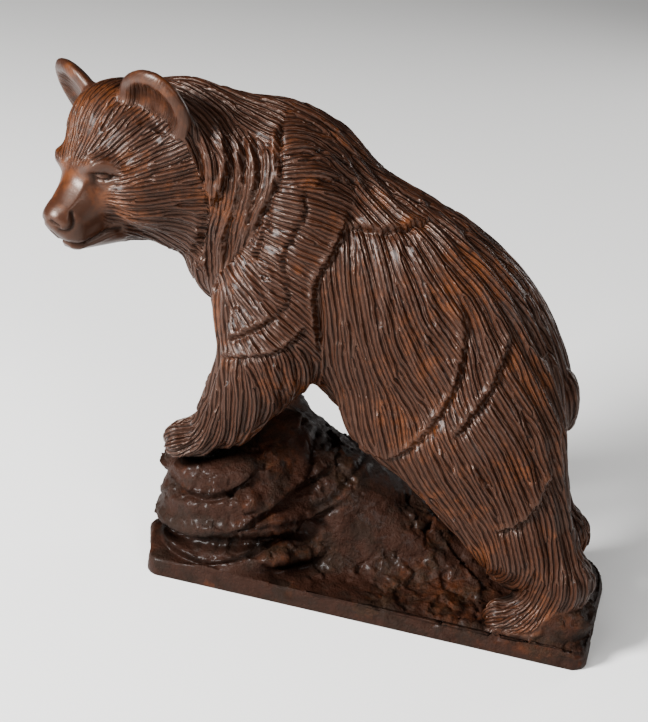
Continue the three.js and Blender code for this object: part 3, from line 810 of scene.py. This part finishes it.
def face_relief(place):
    """Eyes, nostrils, mouth and brow, in millimetres, and the shade painted into their grooves and over the
    ears.
    """
    height = np.zeros(len(place))
    painted_crease_shade = np.zeros(len(place))
    near = np.nonzero((place[:, 0] > FACE_START) & (np.linalg.norm(place, axis=1) < HEAD_REACH))[0]
    aside = folded(place[near])
    for line, rise, width in FACE_LINES.values():
        share = bell(gap_to_line(aside, laid_on_head(line)), width)
        height[near] += rise * share
        # The deeper grooves of the face get painted shade.
        if rise < -SHADED_GROOVE_DEPTH:
            painted_crease_shade[near] = np.maximum(painted_crease_shade[near], share)
    aside = folded(place)
    # The colour is darker over the whole ear, and painted shade deepens it in the ear's hollow.
    return height, np.where(on_ear(aside), np.maximum(0.15, 0.65 * in_cup(aside, 15, 6)), painted_crease_shade)


def crack_relief(points, rocky):
    """The ledges and cracks of the rock, in millimetres, and the shade painted along them."""
    x, z = points[:, 0], points[:, 2]
    level = np.zeros(len(points))
    height = np.zeros(len(points))
    line = np.zeros(len(points))
    for edge in ROCK_CRACKS:
        step, on_edge = step_at(edge, x, z, level, LEDGE_EDGE)
        height += step
        line = np.maximum(line, on_edge)
    near_side = smooth((-points[:, 1] - 4) / 10)
    height *= near_side
    line *= near_side
    for edge in THIN_CRACKS:
        on_edge = step_at(edge, x, z, level, LEDGE_EDGE)[1] * smooth((14 - points[:, 1]) / 8)
        height -= 0.35 * on_edge
        line = np.maximum(line, on_edge)
    # The second value is shade painted along the cracks.
    return height * rocky * CRACK_RELIEF, line**2 * smooth(rocky * 2)


# Nodes


def add(tree, kind, *inputs, give=0, **settings):
    """Adds a node, makes its settings, sets or links its inputs, and gives one of its outputs.

    A kind in capitals is the operation of a maths node. Inputs come in order, or by name in one dict.
    """
    if kind.isupper():
        settings["operation"] = kind
        kind = "ShaderNodeMath"
    node = tree.nodes.new(kind)
    for name, value in settings.items():
        setattr(node, name, value)
    named = inputs[0] if inputs and isinstance(inputs[0], dict) else dict(enumerate(inputs))
    for key, value in named.items():
        if isinstance(value, bpy.types.NodeSocket):
            tree.links.new(value, node.inputs[key])
        else:
            node.inputs[key].default_value = value
    return node.outputs[give] if node.outputs else node


def linear(colour):
    """An sRGB hex colour as linear red, green, blue and alpha."""
    parts = [int(colour[i : i + 2], 16) / 255 for i in (1, 3, 5)]
    return [p / 12.92 if p <= 0.04045 else ((p + 0.055) / 1.055) ** 2.4 for p in parts] + [1.0]


RELIEF_INPUTS = {
    "Stroke Depth": STROKE_DEPTH * MM,
    "Tuft Depth": TUFT_DEPTH * MM,
    "Rock Swell": 3.4 * MM,
    "Chip Tilt": 0.4,
    "Chip Size": 13 * MM,
    "Grit Depth": 0.6 * MM,
    "Edge Wear": 1.8 * MM,
}

# Noises of the relief. Each scale comes from the size of its features in millimetres.
SWELL_NOISE = {"Scale": 1 / (23.8 * MM), "Detail": 3.0, "Roughness": 0.55}
GRIT_NOISE = {"Scale": 1 / (2.38 * MM), "Detail": 3.0, "Roughness": 0.6}
PATCH_NOISE = {"Scale": 1 / (33.3 * MM), "Detail": 1.0}
UNEVEN_NOISE = {"Scale": 1 / (11.1 * MM), "Detail": 2.0}
SMALL_CHIPS = 2.3  # how many of them go into the length of a large one


def facets(new, place, scale):
    """Flat chips in cells, each tilted its own way: how far each place stands out, in metres."""
    voronoi = {"Vector": place, "Scale": scale, "Randomness": 1.0}
    cells = new("ShaderNodeTexVoronoi", voronoi).node.outputs
    from_middle = new("ShaderNodeVectorMath", place, cells["Position"], operation="SUBTRACT")
    tilt = new("ShaderNodeVectorMath", cells["Color"], (0.5, 0.5, 0.5), operation="SUBTRACT")
    return new("ShaderNodeVectorMath", from_middle, tilt, give="Value", operation="DOT_PRODUCT")


def relief_tree(material):
    """Nodes that move each point of the skin outward by the fur and the rock that are carved there."""
    tree = bpy.data.node_groups.new("carved relief", "GeometryNodeTree")
    tree.interface.new_socket("Geometry", in_out="INPUT", socket_type="NodeSocketGeometry")
    for name in RELIEF_INPUTS:
        tree.interface.new_socket(name, in_out="INPUT", socket_type="NodeSocketFloat")
    tree.interface.new_socket("Geometry", in_out="OUTPUT", socket_type="NodeSocketGeometry")
    new = partial(add, tree)
    given = new("NodeGroupInput").node.outputs
    kinds = dict.fromkeys(("rocky", "worn", "stroke", "tuft", "step"), "FLOAT")
    kinds["outward"] = "FLOAT_VECTOR"
    rocky, worn, stroke, tuft, step, outward = (
        new("GeometryNodeInputNamedAttribute", name, give="Attribute", data_type=kind)
        for name, kind in kinds.items()
    )
    place = new("GeometryNodeInputPosition")
    swell, grit, patch, uneven = (
        new("ShaderNodeTexNoise", {"Vector": place, **pattern})
        for pattern in (SWELL_NOISE, GRIT_NOISE, PATCH_NOISE, UNEVEN_NOISE)
    )

    # The rock: swells, chips in patches, grit, and a worn edge
    per_metre = new("DIVIDE", 1.0, given["Chip Size"])
    chips = facets(new, place, per_metre)
    small_chips = facets(new, place, new("MULTIPLY", per_metre, SMALL_CHIPS))
    patch = new("MULTIPLY", new("SUBTRACT", patch, 0.42), 7.0)
    patch = new("MINIMUM", new("MAXIMUM", patch, 0.15), 1.0)
    rise = new("MULTIPLY", new("SUBTRACT", swell, 0.5), new("MULTIPLY", given["Rock Swell"], 2.0))
    chips = new("MULTIPLY", new("ADD", chips, small_chips), new("MULTIPLY", given["Chip Tilt"], patch))
    grain = new("MULTIPLY", new("SUBTRACT", grit, 0.5), new("MULTIPLY", given["Grit Depth"], 2.0))
    wear = new("MULTIPLY", new("ADD", 0.25, new("MULTIPLY", patch, 0.75)), given["Edge Wear"])
    stone = new("MULTIPLY", new("ADD", new("ADD", rise, chips), grain), rocky)
    stone = new("SUBTRACT", stone, new("MULTIPLY", wear, worn))

    # The fur: strokes pressed in unevenly, and tufts
    pressed = new("SUBTRACT", new("MULTIPLY", uneven, 2.6), 0.3)
    strokes = new("MULTIPLY", stroke, new("MULTIPLY", given["Stroke Depth"], pressed))
    tufts = new("MULTIPLY", tuft, given["Tuft Depth"])

    height = new("ADD", new("ADD", strokes, tufts), new("ADD", stone, step))
    offset = new("ShaderNodeVectorMath", {0: outward, "Scale": height}, operation="SCALE")
    moved = new("GeometryNodeSetPosition", {"Geometry": given["Geometry"], "Offset": offset})
    whole = new("GeometryNodeRealizeInstances", moved)
    coated = new("GeometryNodeSetMaterial", {"Geometry": whole, "Material": material})
    new("NodeGroupOutput", coated)
    return tree


def put_values(mesh, name, values):
    """Stores a number or a vector at each point of a mesh."""
    kind, field = ("FLOAT", "value") if values.ndim == 1 else ("FLOAT_VECTOR", "vector")
    layer = mesh.attributes.new(name, kind, "POINT")
    layer.data.foreach_set(field, values.astype(np.float32).ravel())


def values_of(mesh, name, parts=1):
    """The numbers, or vectors of some parts, that are stored at the points of a mesh."""
    found = np.empty(len(mesh.vertices) * parts, np.float32)
    mesh.attributes[name].data.foreach_get("value" if parts == 1 else "vector", found)
    return found if parts == 1 else found.reshape(-1, parts)


def mesh_of(name, points, faces, numbers):
    """A mesh of points and faces, with a value at each point for each name in numbers."""
    mesh = bpy.data.meshes.new(name)
    size = faces.shape[1]
    mesh.vertices.add(len(points))
    mesh.vertices.foreach_set("co", (points * MM).ravel())
    mesh.loops.add(faces.size)
    mesh.loops.foreach_set("vertex_index", faces.ravel().astype(np.int32))
    mesh.polygons.add(len(faces))
    mesh.polygons.foreach_set("loop_start", np.arange(0, faces.size, size, dtype=np.int32))
    mesh.update(calc_edges=True)
    for attribute, values in numbers.items():
        put_values(mesh, attribute, values)
    return mesh


def groove(wave):
    """A rounded ridge between narrow grooves, from 0 on the ridge to -1 in the groove."""
    return -(((1 - wave.real) / 2) ** 1.5)


def on_stone(points):
    """1 on the rock, 0 on the bear."""
    return 1 - smooth((rock(points) - bear(points) + 0.4) / 0.8)


def roughened(points, stone):
    """The share of the rock's relief at each point: little on the plain sides of the base."""
    side = smooth((outside_base(points) + 1.5) / 1.5) * smooth((BASE_EDGE_HEIGHT + 1 - points[:, 2]) / 2)
    under = smooth((1.5 - points[:, 2]) / 1.5)
    return stone * (1 - 0.72 * side) * (1 - under)


def worn_edge(points):
    """1 on the upper edge of the base, which years of handling have rounded."""
    side = bell(outside_base(points), 3.2)
    inner = points.copy()
    inner[:, :2] *= 1 - 6 / np.maximum(np.linalg.norm(points[:, :2], axis=1), 6)[:, None]
    top = bell(rock(inner), 2.5)
    return side * top * smooth((points[:, 2] - 4) / 4)


BOX_SLACK = 1e-6  # in metres


def keep_in_box(mesh):
    """Holds the few chips that stand out of the casting's own box to its sides."""
    low, high = np.array(low_corner) + BOX_SLACK, np.array(high_corner) - BOX_SLACK
    points = np.clip(places_of(mesh) * MM, low, high)
    mesh.vertices.foreach_set("co", points.astype(np.float32).ravel())
    mesh.update()


def relief_values(points, outward, faces):
    """The finer skin, and all that its relief and its stain are worked out from at each point."""
    points, outward, faces, across, furred, on_head, stroke, tuft, fine = coat(points, outward, faces)
    place = into_head(points)
    worn = worn_edge(points)
    stone = on_stone(points)
    rocky = roughened(points, stone) * (1 - 0.8 * worn)
    face, painted_crease_shade = face_relief(place)
    locks, rim = lock_relief(points, place, furred, stroke)
    cracks, painted_crack_shade = crack_relief(points, rocky)
    furred = furred * (1 - 0.75 * rim)
    shallow = np.where(on_head, 0.7, 1.0) * (1 - 0.5 * smooth((outward[:, 1] - 0.2) / 0.4))
    shallow *= 1 - 0.5 * smooth((place[:, 0] - 4) / 8) * smooth((14 - np.abs(place[:, 1])) / 6) * on_head
    numbers = {
        "outward": outward,
        "stroke": groove(stroke) * furred * shallow,
        "tuft": tuft.real * furred * shallow,
        "rocky": rocky,
        "stone": stone,
        "worn": worn,
        # Painted shade in the grooves of the face, in the ears and along the rock's cracks.
        "painted_crease_shade": np.maximum(painted_crease_shade, 0.8 * painted_crack_shade),
        "step": (locks + cracks + face) * MM,
        "wave_cos": stroke.real,
        "wave_sin": stroke.imag,
        "per_mm": across / (STROKE_PITCH * fine)[:, None],
        "furred": furred,
    }
    return points, faces, numbers


def carved_casting(material):
    """The whole casting as one mesh, with its relief carved in and its triangles thinned."""
    points, faces, numbers = relief_values(*coarse_skin())
    casting_object = bpy.data.objects.new("bear_casting", mesh_of("bear_casting", points, faces, numbers))
    bpy.context.scene.collection.objects.link(casting_object)
    carve = casting_object.modifiers.new("carved relief", "NODES")
    carve.node_group = relief_tree(material)
    for socket in carve.node_group.interface.items_tree:
        if socket.name in RELIEF_INPUTS:
            carve[socket.identifier] = RELIEF_INPUTS[socket.name]
    thin = casting_object.modifiers.new("fewer triangles", "DECIMATE")
    thin.ratio = TRIANGLES / (2 * len(faces))
    thin.use_collapse_triangulate = True
    casting_object.data = evaluated(casting_object)
    casting_object.modifiers.clear()
    keep_in_box(casting_object.data)
    return casting_object


def stroke_map(mesh):
    """A UV map whose first number counts strokes across the fur, whole numbers apart at a seam."""
    points, triangles = places_of(mesh), corners_of(mesh, 3)
    turn = np.arctan2(values_of(mesh, "wave_sin"), values_of(mesh, "wave_cos")) / (2 * np.pi)
    per_mm = values_of(mesh, "per_mm", 3)
    counted = np.empty(triangles.shape)
    counted[:, 0] = turn[triangles[:, 0]]
    for corner in (1, 2):
        first, other = triangles[:, 0], triangles[:, corner]
        meant = ((points[other] - points[first]) * (per_mm[first] + per_mm[other]) / 2).sum(1)
        rest = turn[other] - turn[first] - meant
        counted[:, corner] = counted[:, 0] + meant + rest - np.round(rest)
    layer = mesh.uv_layers.new(name="strokes")
    flat = np.stack([counted.ravel(), np.zeros(counted.size)], 1)
    layer.data.foreach_set("uv", flat.astype(np.float32).ravel())


# How far out from a place a hollow is felt for, in millimetres, and what each reach counts for
HOLLOW_REACHES = ((2.5, 0.35), (6, 0.35), (14, 0.3))


# The material paints shade into the hollows from this recess.
def recess_of(mesh):
    """How deep in a hollow each point lies, from what stands round it at a few distances."""
    points = places_of(mesh)
    outward = values_of(mesh, "outward", 3)
    start = casting(points)
    recess = np.zeros(len(points))
    for reach, share in HOLLOW_REACHES:
        free = casting(points + reach * outward) - start
        recess += share * np.clip(1 - free / reach, 0, 1)
    put_values(mesh, "recess", recess)


# Stained resin: a hard cast surface under a brown stain and a satin varnish. Shade is painted into the
# hollows and grooves, nearly black there. Where the stain was wiped thin an orange brown shows through.

# Each colour of the stain where it lies thick, and where it is wiped thin
FUR_COLOURS = ("#261005", "#432008")
ROCK_COLOURS = ("#1c0b05", "#341707")
OLIVE_COLOURS = ("#120804", "#1d1108")
# the near black that the painted shade reaches in the hollows and grooves
PAINTED_SHADE_COLOUR = "#050201"
VARNISH_TINT = "#ffe4d4"  # the varnish has yellowed a little

# Noises of the stain. Each scale comes from the size of its features in millimetres.
PATCHES_NOISE = {"Scale": 1 / (26.3 * MM), "Detail": 4.0, "Roughness": 0.6}
STREAKS_NOISE = {"Scale": 1 / (3.85 * MM), "Detail": 3.0, "Roughness": 0.6}
MOTTLE_NOISE = {"Scale": 1 / (14.3 * MM), "Detail": 5.0, "Roughness": 0.7}
# The pits are drawn coarser than real ones, so that they show.
PITS_NOISE = {"Scale": 1 / (1.11 * MM), "Detail": 3.0, "Roughness": 0.7}
BUMP_DEPTH = 0.5


def stained_resin():
    """Resin that looks brown, warm and satin on the ridges, with shade painted black into the hollows, which
    are duller.
    """
    material = bpy.data.materials.new("stained_resin")
    material.use_nodes = True
    tree = material.node_tree
    tree.nodes.clear()
    new = partial(add, tree)
    place = new("ShaderNodeTexCoord", give="Object")
    furred, on_rock, recess, painted_crease_shade = (
        new("ShaderNodeAttribute", give="Fac", attribute_name=name)
        for name in ("furred", "stone", "recess", "painted_crease_shade")
    )
    patches, streaks, mottle, pits = (
        new("ShaderNodeTexNoise", {"Vector": place, **pattern})
        for pattern in (PATCHES_NOISE, STREAKS_NOISE, MOTTLE_NOISE, PITS_NOISE)
    )
    strokes = new("ShaderNodeUVMap", uv_map="strokes")
    turn = new("MULTIPLY", new("ShaderNodeSeparateXYZ", strokes), 2 * math.pi)

    # Where the stain lies thin, and where shade is painted in
    thin = new("ADD", new("MULTIPLY", patches, 0.7), new("MULTIPLY", streaks, 0.3))
    thin = new("ShaderNodeMapRange", thin, 0.5, 0.66, interpolation_type="SMOOTHSTEP")
    olive_share = new("ShaderNodeMapRange", mottle, 0.42, 0.62, interpolation_type="SMOOTHSTEP")
    # Painted shade in the hollows, from how deep each point lies among what stands round it.
    hollow = new("ShaderNodeMapRange", recess, 0.3, 0.85, interpolation_type="SMOOTHSTEP")
    dip = new("MULTIPLY", new("SUBTRACT", 1.0, new("COSINE", turn)), 0.5)
    dip = new("MULTIPLY", new("POWER", dip, 3.5), furred)
    # Painted shade in the grooves between strokes.
    painted_groove_shade = new("MULTIPLY", dip, new("ADD", 0.35, mottle))
    # All the painted shade: hollows, fur grooves, and the grooves of the face, ears and cracks.
    painted_shade = new("MAXIMUM", new("MAXIMUM", hollow, painted_groove_shade), new("MULTIPLY", painted_crease_shade, 0.8))
    painted_shade = new("MINIMUM", painted_shade, 1.0)

    # Its colour
    fur, stone, olive = (
        new("ShaderNodeMix", {0: thin, 6: linear(thick), 7: linear(wiped)}, give=2, data_type="RGBA")
        for thick, wiped in (FUR_COLOURS, ROCK_COLOURS, OLIVE_COLOURS)
    )
    stone = new("ShaderNodeMix", {0: olive_share, 6: stone, 7: olive}, give=2, data_type="RGBA")
    colour = new("ShaderNodeMix", {0: on_rock, 6: fur, 7: stone}, give=2, data_type="RGBA")
    # The painted shade darkens the colour towards near black.
    colour = new("ShaderNodeMix", {0: painted_shade, 6: colour, 7: linear(PAINTED_SHADE_COLOUR)}, give=2, data_type="RGBA")

    # Hairs finer than the strokes, the grooves between strokes, and the grain of the cast rock
    hair = new("SINE", new("ADD", new("MULTIPLY", turn, 3.0), new("MULTIPLY", streaks, 9.0)))
    hair = new("MULTIPLY", new("MULTIPLY", hair, 0.12), furred)
    grain = new("ADD", new("SUBTRACT", streaks, 0.5), new("SUBTRACT", pits, 0.5))
    grain = new("MULTIPLY", grain, new("ADD", 0.12, new("MULTIPLY", on_rock, 1.3)))
    height = new("ADD", new("SUBTRACT", hair, new("MULTIPLY", dip, 0.9)), grain)
    bump = new("ShaderNodeBump", {"Height": height, "Strength": 1.0, "Distance": BUMP_DEPTH * MM})

    # The varnish: duller where the shade is painted dark, and on the rock
    dull = new("ADD", new("ADD", 0.3, new("MULTIPLY", streaks, 0.14)), new("MULTIPLY", painted_shade, 0.3))
    dull = new("ADD", dull, new("MULTIPLY", on_rock, 0.26))
    shine = new("MULTIPLY", 0.3, new("SUBTRACT", 1.0, new("MULTIPLY", painted_shade, 0.9)))
    shine = new("MULTIPLY", shine, new("SUBTRACT", 1.0, new("MULTIPLY", on_rock, 0.62)))
    look = {
        "Base Color": colour,
        "Roughness": dull,
        "Normal": bump,
        "IOR": 1.5,
        "Specular IOR Level": shine,
        "Specular Tint": linear(VARNISH_TINT),
        "Coat Weight": 0.05,
        "Coat Roughness": 0.25,
    }
    shader = new("ShaderNodeBsdfPrincipled", look)
    new("ShaderNodeOutputMaterial", {"Surface": shader})
    return material


FLOOR_REACH = 6.0  # in metres, to each side


def pale_floor():
    far = FLOOR_REACH
    corners = [(-far, -far, 0), (far, -far, 0), (far, far, 0), (-far, far, 0)]
    mesh = bpy.data.meshes.new("floor")
    mesh.from_pydata(corners, [], [(0, 1, 2, 3)])
    floor = bpy.data.objects.new("floor", mesh)
    bpy.context.scene.collection.objects.link(floor)
    paper = bpy.data.materials.new("matt_paper")
    paper.use_nodes = True
    shader = paper.node_tree.nodes["Principled BSDF"]
    shader.inputs["Base Color"].default_value = linear("#f4f3f1")
    shader.inputs["Roughness"].default_value = 0.9
    mesh.materials.append(paper)


def soft_light(name, place, target, size, watts):
    """A round lamp that faces its target."""
    light = bpy.data.lights.new(name, "AREA")
    light.shape = "DISK"
    light.size = size
    light.energy = watts
    lamp = bpy.data.objects.new(name, light)
    lamp.location = place
    lamp.rotation_euler = (Vector(target) - Vector(place)).to_track_quat("-Z", "Y").to_euler()
    bpy.context.scene.collection.objects.link(lamp)


# Each lamp's place and width in metres, and its power in watts
LAMPS = {
    "front_left": ((-1.1, -1.15, 0.8), 0.5, 132),
    "front_right": ((0.9, -1.2, 0.9), 0.6, 14),
    "behind": ((0.8, 1.3, 0.5), 0.6, 9),
    "overhead": ((-0.5, -1.0, 1.5), 0.8, 12),
}
LIT_PLACE = (-0.03, 0, 0.1)
ROOM_LIGHT = 0.14


def studio_light():
    for name, (place, size, watts) in LAMPS.items():
        soft_light(name, place, LIT_PLACE, size, watts)
    world = bpy.data.worlds.new("pale_room")
    world.use_nodes = True
    world.node_tree.nodes["Background"].inputs["Color"].default_value = linear("#ffffff")
    world.node_tree.nodes["Background"].inputs["Strength"].default_value = ROOM_LIGHT
    bpy.context.scene.world = world


# The camera stands above the bear's left side and leans a little. Lengths are in millimetres.
CAMERA_TURN = math.radians(14)
CAMERA_RISE = math.radians(22)
CAMERA_ROLL = math.radians(-5.4)
CAMERA_DISTANCE = 600
CAMERA_TARGET = (-29.3, -22.3, 105)
SENSOR_HEIGHT = 36
LENS = SENSOR_HEIGHT * 1464 / 722  # the frame is 722 dots high, and the lens 1464 of them away


def camera():
    """Stands back from its target by its turn, rise and roll."""
    back = Vector((math.sin(CAMERA_TURN), -math.cos(CAMERA_TURN), math.tan(CAMERA_RISE))).normalized()
    level = Vector((math.cos(CAMERA_TURN), math.sin(CAMERA_TURN), 0))
    up = back.cross(level)
    right = level * math.cos(CAMERA_ROLL) - up * math.sin(CAMERA_ROLL)
    top = level * math.sin(CAMERA_ROLL) + up * math.cos(CAMERA_ROLL)
    lens = bpy.data.cameras.new("camera")
    lens.sensor_fit = "VERTICAL"
    lens.sensor_height = SENSOR_HEIGHT
    lens.lens = LENS
    lens.clip_start = 0.01
    eye = bpy.data.objects.new("camera", lens)
    turn = Matrix((right, top, back)).transposed().to_4x4()
    eye.matrix_world = Matrix.Translation((Vector(CAMERA_TARGET) + back * CAMERA_DISTANCE) * MM) @ turn
    bpy.context.scene.collection.objects.link(eye)
    bpy.context.scene.camera = eye


camera()
studio_light()
pale_floor()
bear_casting = carved_casting(stained_resin())
stroke_map(bear_casting.data)
recess_of(bear_casting.data)
for polygon in bear_casting.data.polygons:
    polygon.use_smooth = True
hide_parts("bear_on_rock")
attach(bear_casting, "root")
